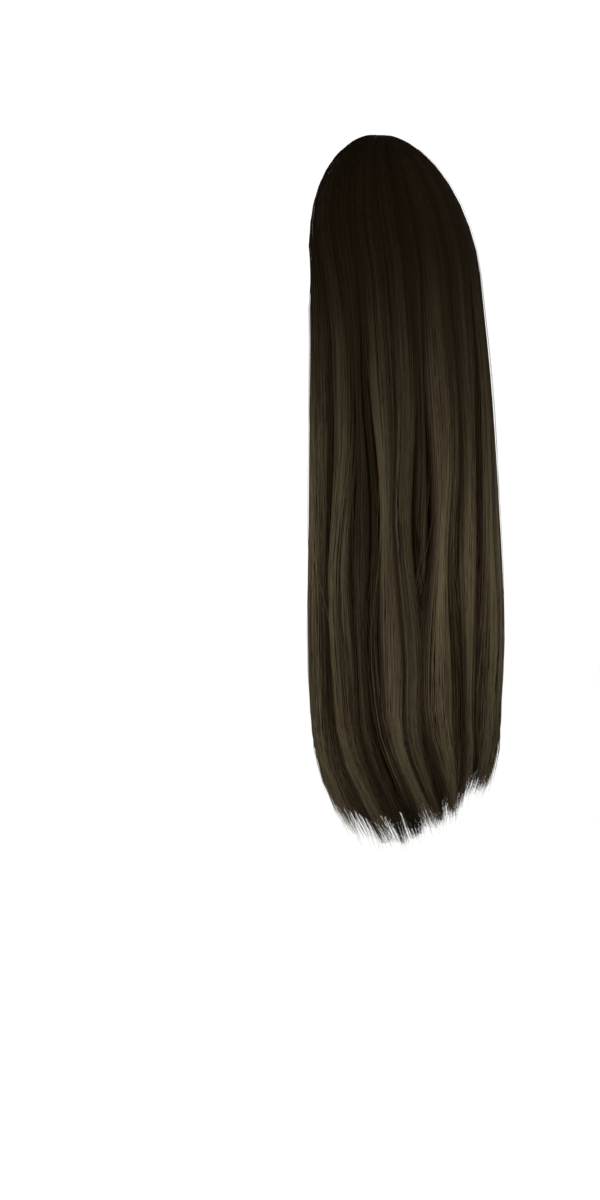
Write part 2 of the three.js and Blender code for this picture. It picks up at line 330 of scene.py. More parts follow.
def fall_value(column, z):
    """A column of FALL at the heights z, on a smooth curve through its rows."""
    heights = np.array([row["z"] for row in FALL], float)
    values = np.array([row[column] for row in FALL], float)
    last = len(FALL) - 1
    i = np.clip(np.searchsorted(-heights, -z, side="right"), 1, last)
    above = np.maximum(np.arange(last + 1) - 1, 0)
    below = np.minimum(np.arange(last + 1) + 1, last)
    slopes = (values[below] - values[above]) / (heights[below] - heights[above])
    span = heights[i] - heights[i - 1]
    t = np.clip((z - heights[i - 1]) / span, 0, 1)
    curve = values[i - 1] * (1 + 2 * t) * (1 - t) ** 2 + values[i] * t * t * (3 - 2 * t)
    return curve + span * (slopes[i - 1] * t * (1 - t) ** 2 - slopes[i] * t * t * (1 - t))


def section(z):
    """The hair's level section: half width, distance back, and the point that depth is measured towards."""
    in_crown = z >= CROWN["base"]
    rise = np.clip((z - CROWN["base"]) / CROWN["height"], 0, 1)
    across = np.where(in_crown, FALL[0]["across"] * np.sqrt(1 - rise * rise), fall_value("across", z))
    fall_back = fall_value("back", z)
    back = np.where(in_crown, mix(FALL[0]["back"], CROWN["apex_back"], rise), fall_back)
    pivot_y = -np.where(in_crown, FALL[0]["back"], fall_back)
    pivot = np.stack([np.zeros_like(z), pivot_y, np.where(in_crown, CROWN["base"], z)], axis=-1)
    return across, back, pivot


def hair_point(angle, z, depth):
    """Points of the hair, in metres: so far round, at a height of the outer form and so deep under it."""
    across, back, pivot = section(z)
    turn = np.radians(angle)
    y = -back - across * FLATNESS * np.cos(turn)
    surface = np.stack([-across * np.sin(turn), y, z], axis=-1)
    reach = np.linalg.norm(surface - pivot, axis=-1)
    return mix(surface, pivot, (depth / reach)[..., None]) * MM


def crown_height(turns):
    """Heights on the crown, so many degrees down from its top."""
    return CROWN["base"] + CROWN["height"] * np.cos(np.radians(turns))


def crown_spread(z):
    """How wide the hair is at the heights z, as a share of the crown's width and at most 1."""
    return np.minimum(section(z)[0] / FALL[0]["across"], 1)


def crown_fade(z):
    """0 over the crown and 1 on the fall."""
    return 1 - smooth(z, FADE["low"], FADE["high"])


def edge_angle(edge, z):
    """Where an edge between two locks is at the heights z. Edges near the front spread over the crown."""
    drifted = mix(edge["high"], edge["low"], 1 - smooth(z, DRIFT["low"], DRIFT["high"]))
    swept = np.clip((DRIFT["sweep"] - z) / (DRIFT["sweep"] - DRIFT["tip"]), 0, 1)
    angle = mix(drifted, edge["tip"], swept * swept)
    if abs(edge["high"]) < WRAP["fall"]:
        waves = z / EDGE_WAVE["length"] + EDGE_WAVE["step"] * edge["high"]
        angle = angle + EDGE_WAVE["turn"] * np.sin(2 * np.pi * waves) * crown_fade(z)
    spread = (WRAP["crown"] - WRAP["fall"]) * smooth(z, WRAP["low"], WRAP["part"])
    return angle + spread * (angle / WRAP["fall"]) ** WRAP["power"]


def curl_share(z):
    """How far the tips have curled at the heights z, from 0 to 1."""
    return np.clip((CURL["top"] - z) / (CURL["top"] - CURL["tip"]), 0, 1) ** 2


def outer_thickness(angle, z):
    """The outer layer's thickness: less towards its edges, and less there over the crown."""
    top = smooth(z, OUTER_THICKNESS["fall"], OUTER_THICKNESS["crown"])
    edge = mix(OUTER_THICKNESS["edge"], OUTER_THICKNESS["crown_edge"], top)
    return mix(OUTER_THICKNESS["back"], edge, np.minimum(np.abs(angle) / WRAP["fall"], 1))


class Lock:
    """One lock: its edges, the height of its tips, its tone, and its depths under the hair's outer form.

    A place across it runs from 0 at its left edge to 1 at its right. Its fibres draw its phase, which says
    where its sway starts, and free is the side, -1 or 1, that has no neighbour."""

    def __init__(self, left, right, end, tone):
        self.left = left
        self.right = right
        self.end = end
        self.tone = tone
        self.free = 0
        self.phase = 0
        width = MIDDLE_OF_FALL["across"] * math.radians(left["low"] - right["low"])
        self.clumps = max(CLUMP["fewest"], round(width / CLUMP["width"]))

    def angle(self, z, place):
        """How far round a place across the lock is; the tips curl round to the wearer's right."""
        angle = mix(edge_angle(self.left, z), edge_angle(self.right, z), place)
        return angle - CURL["turn"] * smooth(angle, CURL["none"], CURL["full"]) * curl_share(z)

    def sway(self, along):
        """How far the whole lock sways to one side, as a share of its width, so far along its fibres."""
        return SWAY["reach"] * np.sin(2 * np.pi * (SWAY["rate"] * along + self.phase)) * along

    def tips(self, place):
        """The height of the longest tips at a place across the lock."""
        return np.full_like(place, self.end)

    def width(self, z):
        """How wide the lock is at the heights z."""
        across = section(z)[0]
        return across * np.radians(edge_angle(self.left, z) - edge_angle(self.right, z))


class OuterLock(Lock):
    """A lock of the outer layer, rounded across and proud of its neighbours or sunk between them."""

    def __init__(self, index):
        row = OUTER_LOCKS[index]
        left = OUTER_LOCKS[index - 1] if index else FIRST_EDGE
        super().__init__(left, row, row["end"], row["tone"])
        self.lift = row["lift"]
        self.free = {0: -1, len(OUTER_LOCKS) - 1: 1}.get(index, 0)

    def tips(self, place):
        """On the hem's line, so that there are few steps between the locks."""
        angle = mix(self.left["tip"], self.right["tip"], place)
        return np.interp(-angle, [-row["tip"] for row in HEM_LINE], [row["z"] for row in HEM_LINE])

    def outside(self, z, place):
        """The depth of the lock's outer face, deeper towards the grooves beside it."""
        dip = np.minimum(GROOVE["depth"], GROOVE["share"] * self.width(z))
        groove = dip * (2 * np.clip(place, 0, 1) - 1) ** 2
        relief = mix(CROWN_RELIEF, 1, crown_fade(z))
        skin = mix(SKIN["fall"], SKIN["crown"], smooth(z, SKIN["low"], SKIN["high"]))
        return (skin + (groove - self.lift) * relief) * crown_spread(z)

    def inside(self, z, place):
        """The depth of the lock's inner face."""
        return outer_thickness(self.angle(z, place), z)


class InnerLock(Lock):
    """A lock of the inner layer, thickest in the middle of the back."""

    def __init__(self, index):
        left, right = (mix(INNER["reach"], -INNER["reach"], k / INNER["count"]) for k in (index, index + 1))
        edges = [{"high": a, "low": a, "tip": a} for a in (left, right)]
        # Painted shade: the inner locks take a darker tone
        super().__init__(*edges, INNER["end"] + INNER["stagger"] * (index % 2), INNER_SHADE)

    def outside(self, z, place):
        """The depth of the lock's outer face, a little behind the outer layer."""
        return outer_thickness(self.angle(z, place), OUTER_THICKNESS["fall"]) + INNER["behind"]

    def inside(self, z, place):
        """The depth of the lock's inner face, which thins out towards the top."""
        share = np.minimum(np.abs(self.angle(z, place)) / INNER["reach"], 1)
        thickness = mix(INNER["edge"], INNER["thickness"], np.cos(np.radians(90 * share)))
        full = mix(INNER_TOP["share"], 1, 1 - smooth(z, INNER_TOP["full"], INNER_TOP["z"]))
        return self.outside(z, place) + thickness * full


def layer_depths(count, layers, rng):
    """A column of places between a lock's outside, at 0, and its inside, at 1: mostly near its faces."""
    each = (count, 1)
    kind = rng.random(each)
    near = layers["deep"] * rng.random(each) ** 2
    between = rng.random(each)
    outer, inner = kind < layers["skin"], kind < layers["skin"] + layers["inside"]
    return np.select([outer, inner], [near, 1 - near], between)


def splay(home, along, z):
    """How far a lock's fibres spread over its neighbours, at its ends and over the crown."""
    share = SPLAY["ends"] * smooth(along, SPLAY["from"], 1) + SPLAY["crown"] * (1 - crown_fade(z))
    return share * (home - 0.5)


def crest_highlight_and_groove_shade(lock, place):
    """Painted highlight along the middle of a lock, where fibres are lighter, and painted shade towards the
    grooves beside it, where they are darker.
    """
    across = 2 * np.clip(place, 0, 1) - 1
    off_crest = np.abs(np.where(across * lock.free > 0, 0, across))
    return PAINTED_CREST["lighter"] - PAINTED_CREST["groove"] * off_crest ** PAINTED_CREST["power"]


class LockFibres:
    """A lock's long fibres, from the roots over the crown to wispy ends, gathered in clumps.

    Each value of a fibre's own is in a column, with a row for each fibre."""

    def __init__(self, lock, count, layers, rng):
        self.lock = lock
        self.rng = rng
        self.each = (count, 1)
        self.home = scattered(count, rng)
        self.clump = np.minimum((self.home * lock.clumps).astype(int), lock.clumps - 1)
        lock.phase = rng.random()
        jitter = rng.uniform(-CLUMP["jitter"], CLUMP["jitter"], lock.clumps)
        self.centre = ((np.arange(lock.clumps) + 0.5 + jitter) / lock.clumps)[self.clump]
        self.clump_tone = rng.normal(0, TONE["clump"], lock.clumps)[self.clump]
        clump_short = rng.uniform(0, HEM["clump"], lock.clumps)[self.clump]
        self.layer = layer_depths(count, layers, rng)
        self.stray = rng.random(self.each) < STRAY["share"]
        self.start = START["first"] + START["spread"] * rng.random(self.each)
        short = clump_short + HEM["length"] * rng.random(self.each) ** HEM["skew"]
        self.end = lock.tips(self.home) - HEM["below"] + short

    def lines(self):
        """The fibres' points, and how thick, light and far from the crown they are there."""
        over_crown = np.arange(CROWN_POINTS) / CROWN_POINTS
        down = np.linspace(0, 1, FALL_POINTS)
        turns = mix(self.start, 90, over_crown)
        z = np.hstack([crown_height(turns), mix(CROWN["base"], self.end, down)])
        along = np.hstack([CROWN_SHARE * over_crown, mix(CROWN_SHARE, 1, down)])
        place = self.places(z, along)
        depth = self.depths(z, along, place)
        depth[:, :CROWN_POINTS] += DIVE["depth"] * (1 - smooth(turns - self.start, 0, DIVE["over"]))
        return {
            "points": hair_point(self.lock.angle(z, place), z, depth),
            "shade": self.tones(z, along, place),
            "thin": self.thicknesses(along),
            "fade": crown_fade(z),
        }

    def places(self, z, along):
        """Where across the lock the fibres run: in clumps, with waves of their own, and some crossing it."""
        rng = self.rng
        sway = rng.normal(0, WANDER["reach"], self.each) * np.where(self.stray, STRAY["sway"], 1)
        rate = rng.uniform(WANDER["slowest"], WANDER["fastest"], self.each)
        phase = rng.random(self.each)
        wave = np.sin(2 * np.pi * (rate * along + phase)) * along
        crosses = rng.random(self.each) < CROSS["share"]
        reach = np.where(crosses, rng.uniform(-CROSS["reach"], CROSS["reach"], self.each), 0)
        leave = rng.uniform(*CROSS["leave"], self.each)
        arrive = rng.uniform(*CROSS["arrive"], self.each)
        own = GATHER * along * (self.centre - self.home) + sway * wave + reach * smooth(along, leave, arrive)
        return self.home + own + self.lock.sway(along) + splay(self.home, along, z)

    def depths(self, z, along, place):
        """How deep under the outer form the fibres run: each clump is a ridge, and the ends fan out."""
        lock = self.lock
        ridge = CLUMP["ridge"] * (2 * (self.home * lock.clumps - self.clump) - 1) ** 2
        outside = lock.outside(z, place) + ridge * crown_spread(z)
        fan = self.rng.normal(0, HEM["fan"], self.each) * smooth(along, HEM["from"], 1)
        lifted = STRAY["out"] * self.stray * crown_spread(z)
        return mix(outside, lock.inside(z, place), self.layer) + fan - lifted + CURL["under"] * curl_share(z)

    def tones(self, z, along, place):
        """How light the fibres are: darker under others and in grooves as painted shade, lighter on crests as
        painted highlight, and more alike over the crown.
        """
        lock = self.lock
        # Painted shade: the deeper a fibre lies under others, the darker it is, less so towards the tips
        shows = mix(1, UNDER_SHADE["ends"], smooth(along, UNDER_SHADE["from"], 1))
        under = UNDER_SHADE["darker"] * np.minimum(self.layer / UNDER_SHADE["layer"], 1) * shows
        own = self.rng.normal(0, TONE["fibre"], self.each) - under
        rate = self.rng.uniform(TONE_DRIFT["slowest"], TONE_DRIFT["fastest"], lock.clumps)[self.clump]
        phase = self.rng.random(lock.clumps)[self.clump]
        drift = TONE_DRIFT["reach"] * np.sin(2 * np.pi * (rate * along + phase))
        # Painted light: the lock's tone is darker on sunk locks and lighter on proud ones, and the crest term
        # adds painted highlight on crests and painted shade towards grooves
        clump = TONE["lock"] * lock.tone + self.clump_tone + drift
        contrast = mix(CROWN_CONTRAST, 1, crown_fade(z))
        varied = (clump + crest_highlight_and_groove_shade(lock, place) + TONE["stray"] * self.stray) * contrast
        return np.clip(TONE["middle"] + varied + own, 0, 1)

    def thicknesses(self, along):
        """How thick the fibres are, as a share of the fibre's width, thinner at roots and tips."""
        tip = np.clip((1 - along) / TAPER["length"], TAPER["tip"], 1)
        root = mix(TAPER["root"], 1, smooth(along, 0, TAPER["root_length"]))
        own = self.rng.uniform(FIBRE["thinnest"], FIBRE["thickest"], self.each)
        return own * np.where(self.stray, STRAY["thin"], 1) * tip * root


def hem_wisps(lock, count, layers, rng):
    """Short fine fibres among a lock's tips, which give it a soft end."""
    each = (count, 1)
    home = scattered(count, rng)
    end = lock.tips(home) + rng.uniform(WISP["longest"], WISP["shortest"], each)
    down = np.linspace(0, 1, WISP["points"])
    z = end + WISP["length"] * (1 - down)
    along = mix(CROWN_SHARE, 1, (CROWN["base"] - z) / (CROWN["base"] - end))
    lean = rng.normal(0, WISP["lean"], each) * down
    place = home + lean + lock.sway(along) + splay(home, along, z)
    layer = layer_depths(count, layers, rng)
    fan = rng.normal(0, HEM["fan"], each) * down
    depth = mix(lock.outside(z, place), lock.inside(z, place), layer) + fan + CURL["under"] * curl_share(z)
    own_tone = rng.normal(0, TONE["fibre"], each)
    # Painted light: the lock's tone, darker on sunk locks and lighter on proud ones, and painted highlight on
    # its crest with painted shade towards its grooves
    tone = TONE["middle"] + TONE["lock"] * lock.tone + own_tone + crest_highlight_and_groove_shade(lock, place)
    return {
        "points": hair_point(lock.angle(z, place), z, depth),
        "shade": np.clip(tone, 0, 1),
        "thin": mix(WISP["thin"], WISP["tip"], down * down),
        "fade": crown_fade(z),
    }


def lock_core(lock, rng):
    """The lock's closed body under its fibres, ridged like them, thin and jagged at its end."""
    front = np.linspace(LOCK_CORE["margin"], 1 - LOCK_CORE["margin"], CORE_ARC["outer"])
    front_ends = lock.tips(front) + rng.uniform(CORE_ENDS["longest"], CORE_ENDS["shortest"], len(front))
    place, ends = (np.concatenate([row, row[::-CORE_ARC["step"]]]) for row in (front, front_ends))
    faces_out = np.arange(len(place)) < len(front)
    turns = np.linspace(LOCK_CORE["start"], 90, CORE_RINGS["crown"], endpoint=False)
    down = np.linspace(0, 1, CORE_RINGS["fall"])[:, None]
    z = np.vstack([np.tile(crown_height(turns)[:, None], len(place)), mix(CROWN["base"], ends, down)])

    ridge = CLUMP["ridge"] * (2 * ((place * lock.clumps) % 1) - 1) ** 2
    outer = lock.outside(z, place) + (LOCK_CORE["inset"] + ridge) * crown_spread(z)
    ending = 1 - smooth(z, lock.end, lock.end + LOCK_CORE["taper"])
    inner = mix(lock.inside(z, place) - LOCK_CORE["inset"], outer + LOCK_CORE["thin"], ending)
    depth = np.where(faces_out, outer, inner) + CURL["under"] * curl_share(z)
    body = loft(hair_point(lock.angle(z, place), z, depth))
    body["fade"] = crown_fade(np.concatenate([z.ravel(), z[[0, -1], 0]]))
    # Painted shade: the body is darker than the fibres over it
    body["shade"] = LOCK_CORE["shade"]
    return body


def loft(rings):
    """A closed body through rings of points, each counter-clockwise seen from where the rings start."""
    rows, count = rings.shape[:2]
    points = np.concatenate([rings.reshape(-1, 3), rings[[0, -1]].mean(axis=1)])
    a = np.arange(rows - 1)[:, None] * count + np.arange(count)
    b = np.arange(rows - 1)[:, None] * count + (np.arange(count) + 1) % count
    faces = np.stack([a, a + count, b + count, b], axis=-1).reshape(-1, 4).tolist()
    first, last = rows * count, rows * count + 1
    around = [(i, (i + 1) % count) for i in range(count)]
    faces += [(first, i, j) for i, j in around]
    faces += [(last, (rows - 1) * count + j, (rows - 1) * count + i) for i, j in around]
    return {"points": points, "faces": faces}


def wire(tree, node, inputs):
    """Sets a node's inputs, each to a value or to the socket that it is linked from."""
    for name, value in inputs.items():
        if isinstance(value, bpy.types.NodeSocket):
            tree.links.new(value, node.inputs[name])
        else:
            node.inputs[name].default_value = value


def put(tree, kind, inputs=(), stops=(), **settings):
    """Adds a node with its settings and links, and a colour ramp with its colours at even steps."""
    node = tree.nodes.new(kind)
    for name, value in settings.items():
        setattr(node, name, value)
    wire(tree, node, dict(inputs))
    for _ in stops[2:]:
        node.color_ramp.elements.new(0.5)
    for i, colour in enumerate(stops):
        node.color_ramp.elements[i].position = i / (len(stops) - 1)
        node.color_ramp.elements[i].color = (*colour, 1)
    return node


def new_tree(name, sockets):
    """A Geometry Nodes tree with geometry in and out, and named inputs."""
    tree = bpy.data.node_groups.new(name, "GeometryNodeTree")
    tree.interface.new_socket("Geometry", in_out="INPUT", socket_type="NodeSocketGeometry")
    for title, kind in sockets.items():
        tree.interface.new_socket(title, in_out="INPUT", socket_type=kind)
    tree.interface.new_socket("Geometry", in_out="OUTPUT", socket_type="NodeSocketGeometry")
    return tree


def end_tree(tree, geometry, material):
    """The end of each tree: real geometry, smooth shading and the material."""
    real = put(tree, "GeometryNodeRealizeInstances", {"Geometry": geometry}).outputs["Geometry"]
    rounded = put(tree, "GeometryNodeSetShadeSmooth", {"Geometry": real}).outputs["Geometry"]
    coated = put(tree, "GeometryNodeSetMaterial", {"Geometry": rounded, "Material": material})
    put(tree, "NodeGroupOutput", {"Geometry": coated.outputs["Geometry"]})


def thread_tree():
    """Gives each loose line of a mesh its round section, and keeps the mesh's faces as they are."""
    tree = new_tree("Threads", {
        "Width": "NodeSocketFloat", "Sides": "NodeSocketInt", "Material": "NodeSocketMaterial"})
    given = put(tree, "NodeGroupInput").outputs
    line = put(tree, "GeometryNodeInputNamedAttribute", {"Name": "line"}, data_type="BOOLEAN")
    thin = put(tree, "GeometryNodeInputNamedAttribute", {"Name": "thin"}, data_type="FLOAT")
    parts = put(tree, "GeometryNodeSeparateGeometry", {
        "Geometry": given["Geometry"], "Selection": line.outputs["Attribute"]})
    curve = put(tree, "GeometryNodeMeshToCurve", {"Mesh": parts.outputs["Selection"]})
    half = put(tree, "ShaderNodeMath", {0: given["Width"], 1: 0.5}, operation="MULTIPLY")
    radius = put(tree, "ShaderNodeMath", {
        0: thin.outputs["Attribute"], 1: half.outputs["Value"]}, operation="MULTIPLY")
    ring = put(tree, "GeometryNodeCurvePrimitiveCircle", {"Resolution": given["Sides"], "Radius": 1.0})
    tube = put(tree, "GeometryNodeCurveToMesh", {
        "Curve": curve.outputs["Curve"], "Profile Curve": ring.outputs["Curve"],
        "Scale": radius.outputs["Value"], "Fill Caps": True})
    both = put(tree, "GeometryNodeJoinGeometry", {"Geometry": tube.outputs["Mesh"]})
    wire(tree, both, {"Geometry": parts.outputs["Inverted"]})
    end_tree(tree, both.outputs["Geometry"], given["Material"])
    return tree


def stitch_tree():
    """Lays slanted stitches along each loose line of a mesh."""
    tree = new_tree("Stitches", {
        "Pitch": "NodeSocketFloat", "Width": "NodeSocketFloat", "Slant": "NodeSocketFloat",
        "Material": "NodeSocketMaterial"})
    given = put(tree, "NodeGroupInput").outputs
    curve = put(tree, "GeometryNodeMeshToCurve", {"Mesh": given["Geometry"]}).outputs["Curve"]
    even = put(tree, "GeometryNodeResampleCurve", {"Curve": curve, "Length": given["Pitch"]}, mode="LENGTH")
    run = put(tree, "GeometryNodeInputTangent").outputs["Tangent"]
    facing = put(tree, "GeometryNodeInputNamedAttribute", {"Name": "facing"}, data_type="FLOAT_VECTOR")
    out = facing.outputs["Attribute"]
    level = put(tree, "FunctionNodeAlignRotationToVector", {"Vector": out}, axis="Z").outputs["Rotation"]
    aligned = put(tree, "FunctionNodeAlignRotationToVector", {"Rotation": level, "Vector": run},
                  axis="X", pivot_axis="Z").outputs["Rotation"]
    slant = put(tree, "ShaderNodeCombineXYZ", {"Z": given["Slant"]}).outputs["Vector"]
    turned = put(tree, "FunctionNodeRotateRotation", {"Rotation": aligned, "Rotate By": slant},
                 rotation_space="LOCAL").outputs["Rotation"]
    ball = put(tree, "GeometryNodeMeshUVSphere", {
        "Segments": STITCH["segments"], "Rings": STITCH["rings"], "Radius": 0.5})
    length = put(tree, "ShaderNodeMath", {0: given["Pitch"], 1: STITCH["overlap"]}, operation="MULTIPLY")
    size = put(tree, "ShaderNodeCombineXYZ", {
        "X": length.outputs["Value"], "Y": given["Width"], "Z": given["Width"]})
    copies = put(tree, "GeometryNodeInstanceOnPoints", {
        "Points": even.outputs["Curve"], "Instance": ball.outputs["Mesh"],
        "Rotation": turned, "Scale": size.outputs["Vector"]})
    end_tree(tree, copies.outputs["Instances"], given["Material"])
    return tree


def line_mesh(name, fibres, bodies=()):
    """A mesh of loose lines, one for each fibre, and of the closed bodies, with their attributes."""
    runs, per_run = fibres["points"].shape[:2]
    points = [fibres["points"].reshape(-1, 3)] + [body["points"] for body in bodies]
    numbers = np.arange(runs * per_run).reshape(runs, per_run)
    edges = np.stack([numbers[:, :-1], numbers[:, 1:]], axis=-1).reshape(-1, 2).tolist()
    faces = []
    offset = runs * per_run
    for body in bodies:
        faces += [tuple(offset + i for i in face) for face in body["faces"]]
        offset += len(body["points"])
    mesh = bpy.data.meshes.new(name)
    mesh.from_pydata(np.concatenate(points).tolist(), edges, faces)
    for title in ("thin", "shade", "fade"):
        own = np.broadcast_to(fibres.get(title, 1.0), (runs, per_run)).ravel()
        others = [np.broadcast_to(body.get(title, 1.0), len(body["points"])) for body in bodies]
        values = np.concatenate([own, *others]).astype(np.float32)
        mesh.attributes.new(title, "FLOAT", "POINT").data.foreach_set("value", values)
    is_line = np.arange(offset) < runs * per_run
    mesh.attributes.new("line", "BOOLEAN", "POINT").data.foreach_set("value", is_line)
    return mesh


def grown(mesh, tree, **sizes):
    """The plain mesh, of one material, that a tree makes of a mesh."""
    piece = bpy.data.objects.new(mesh.name, mesh)
    bpy.context.scene.collection.objects.link(piece)
    modifier = piece.modifiers.new(tree.name, "NODES")
    modifier.node_group = tree
    names = {item.name: item.identifier for item in tree.interface.items_tree if item.in_out == "INPUT"}
    for title, value in sizes.items():
        modifier[names[title]] = value
    shaped = bpy.data.meshes.new_from_object(piece.evaluated_get(bpy.context.evaluated_depsgraph_get()))
    bpy.data.objects.remove(piece)
    shaped.materials.clear()
    shaped.materials.append(sizes["Material"])
    return shaped


def joined(name, meshes):
    """Several meshes, each of one material, as one mesh."""
    if len(meshes) == 1:
        meshes[0].name = name
        return meshes[0]
    whole = bmesh.new()
    materials = []
    for mesh in meshes:
        before = len(whole.faces)
        whole.from_mesh(mesh)
        whole.faces.ensure_lookup_table()
        if mesh.materials[0] not in materials:
            materials.append(mesh.materials[0])
        for face in whole.faces[before:]:
            face.material_index = materials.index(mesh.materials[0])
    mesh = bpy.data.meshes.new(name)
    whole.to_mesh(mesh)
    whole.free()
    for material in materials:
        mesh.materials.append(material)
    return mesh


def add_piece(name, meshes, slot, *nodes):
    """One piece of the joined meshes, on the one body, in the place of its nodes."""
    piece = bpy.data.objects.new(name, joined(name, meshes))
    bpy.context.scene.collection.objects.link(piece)
    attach(piece, BODY)
    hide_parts(*nodes)


def new_material(name):
    """A material with its node tree and its shader."""
    material = bpy.data.materials.new(name)
    material.use_nodes = True
    tree = material.node_tree
    return material, tree, tree.nodes["Principled BSDF"]


def hair_material(settings):
    """Extruded synthetic fibre: smooth, straight and dark, nearly matt. Its soft satin sheen along the locks
    is painted highlight, lighter colour on the crests up to the ribbon colour.

    Single fibres differ a little in tone. Grooves, fibres under others and the bodies under them are darker
    as painted shade, and the crown is darker than the fall, partly by the fibres' own tone and partly as
    painted shade. The streaks are two drawn fibres wide, because a real fibre's own are too fine to show."""
    material, tree, shader = new_material("synthetic_hair_fibre")
    shade = put(tree, "ShaderNodeAttribute", attribute_name="shade").outputs["Fac"]
    fade = put(tree, "ShaderNodeAttribute", attribute_name="fade").outputs["Fac"]
    spot = put(tree, "ShaderNodeTexCoord").outputs["Object"]
    streak_mm = 1.1
    streak_length_mm = 60
    scale = [1 / (size * MM) for size in (streak_mm, streak_mm, streak_length_mm)]
    stretch = put(tree, "ShaderNodeMapping", {"Vector": spot, "Scale": scale}).outputs["Vector"]
    streak = put(tree, "ShaderNodeTexNoise", {"Vector": stretch, "Scale": 1.0, "Detail": 3.0}).outputs["Fac"]
    varied = put(tree, "ShaderNodeMapRange", {
        "Value": streak, "From Min": 0.3, "From Max": 0.7, "To Min": -0.08, "To Max": 0.08}).outputs["Result"]
    added = put(tree, "ShaderNodeMath", {0: shade, 1: varied}, operation="ADD", use_clamp=True)
    tone = added.outputs["Value"]
    # The fall's ramp runs from painted shade in the grooves to painted highlight on the crests; the crown's
    # is darker, partly as painted shade
    fall = put(tree, "ShaderNodeValToRGB", {"Fac": tone}, [settings.groove, settings.fall, settings.ribbon_highlight])
    crown = put(tree, "ShaderNodeValToRGB", {"Fac": tone}, [settings.crown_deep, settings.crown])
    colour = put(tree, "ShaderNodeMix", {
        COLOUR_MIX["factor"]: fade, COLOUR_MIX["first"]: crown.outputs["Color"],
        COLOUR_MIX["second"]: fall.outputs["Color"]}, data_type="RGBA")
    wire(tree, shader, {
        "Base Color": colour.outputs[COLOUR_MIX["result"]], "Roughness": settings.roughness,
        "Specular IOR Level": settings.gloss, "IOR": 1.5})
    return material


def net_material(settings):
    """Knitted polyamide net: matt, with a faint sheen and a fine rib from its loops."""
    material, tree, shader = new_material("knitted_net")
    spot = put(tree, "ShaderNodeTexCoord").outputs["Object"]
    loop_mm = 0.8
    loop_height_mm = 0.3
    loops = put(tree, "ShaderNodeTexVoronoi", {"Vector": spot, "Scale": 1 / (loop_mm * MM)})
    height = loops.outputs["Distance"]
    colour = put(tree, "ShaderNodeValToRGB", {"Fac": height}, [settings.net, settings.thread])
    bump = put(tree, "ShaderNodeBump", {
        "Height": height, "Strength": 0.6, "Distance": loop_height_mm * MM})
    wire(tree, shader, {
        "Base Color": colour.outputs["Color"], "Normal": bump.outputs["Normal"],
        "Roughness": 0.85, "Sheen Weight": 0.15})
    return material


def thread_material(settings):
    """Twisted sewing thread: matt, a little lighter than the net, with a twist along it."""
    material, tree, shader = new_material("sewing_thread")
    spot = put(tree, "ShaderNodeTexCoord").outputs["Object"]
    twist_mm = 0.6
    scale = 2 * math.pi / (WAVE_TURN * twist_mm * MM)
    twist = put(tree, "ShaderNodeTexWave", {"Vector": spot, "Scale": scale}, bands_direction="DIAGONAL")
    colour = put(tree, "ShaderNodeValToRGB", {"Fac": twist.outputs["Fac"]}, [settings.net, settings.thread])
    wire(tree, shader, {"Base Color": colour.outputs["Color"], "Roughness": 0.7})
    return material


def plastic_material(settings):
    """Moulded acetate: glossy brown, faintly clouded, with fine handling marks in its gloss."""
    material, tree, shader = new_material("moulded_acetate")
    spot = put(tree, "ShaderNodeTexCoord").outputs["Object"]
    cloud_mm = 14
    mark_mm = 1.5
    darker, lighter = ([c * share for c in settings.plastic] for share in (0.55, 1.5))
    cloud = put(tree, "ShaderNodeTexNoise", {"Vector": spot, "Scale": 1 / (cloud_mm * MM), "Detail": 3.0})
    colour = put(tree, "ShaderNodeValToRGB", {"Fac": cloud.outputs["Fac"]}, [darker, lighter])
    marks = put(tree, "ShaderNodeTexNoise", {"Vector": spot, "Scale": 1 / (mark_mm * MM), "Detail": 4.0})
    gloss = put(tree, "ShaderNodeMapRange", {"Value": marks.outputs["Fac"], "To Min": 0.2, "To Max": 0.42})
    wire(tree, shader, {
        "Base Color": colour.outputs["Color"], "Roughness": gloss.outputs["Result"], "IOR": 1.48})
    return material


def floor_material(settings):
    """Plain pale painted board, matt, with a hardly seen mottle."""
    material, tree, shader = new_material("pale_board")
    spot = put(tree, "ShaderNodeTexCoord").outputs["Object"]
    mottle_mm = 330
    darker = [c * 0.985 for c in settings.floor]
    mottle = put(tree, "ShaderNodeTexNoise", {"Vector": spot, "Scale": 1 / (mottle_mm * MM)})
    colour = put(tree, "ShaderNodeValToRGB", {"Fac": mottle.outputs["Fac"]}, [darker, settings.floor])
    wire(tree, shader, {"Base Color": colour.outputs["Color"], "Roughness": 0.9, "Specular IOR Level": 0.1})
    return material


def shared(kind, name, make):
    """A tree or material that several pieces use, made once."""
    return kind.get(name) or make()


def threads():
    """The tree that every thread and fibre is made by."""
    return shared(bpy.data.node_groups, "Threads", thread_tree)


def sewing_thread(scene):
    """The finish of the binding and of the hem's stitches."""
    return shared(bpy.data.materials, "sewing_thread", lambda: thread_material(scene.ponytail_cap))


def grown_hair(lines, scene):
    """Fibres, and the bodies under them, in the hair's finish."""
    hair = scene.ponytail_hair
    finish = shared(bpy.data.materials, "synthetic_hair_fibre", lambda: hair_material(hair))
    return grown(lines, threads(), Width=hair.fibre_width, Sides=FIBRE["sides"], Material=finish)


def make_lock(name, lock, count, layers, rng, scene):
    """One lock: its long fibres over its body, and the wisps among its tips."""
    fibres = line_mesh(name, LockFibres(lock, count, layers, rng).lines(), [lock_core(lock, rng)])
    wisps = line_mesh(name + "_wisps", hem_wisps(lock, scene.ponytail_hair.wisp_count, layers, rng))
    add_piece(name + "_fibres", [grown_hair(lines, scene) for lines in (fibres, wisps)], "hair", name)


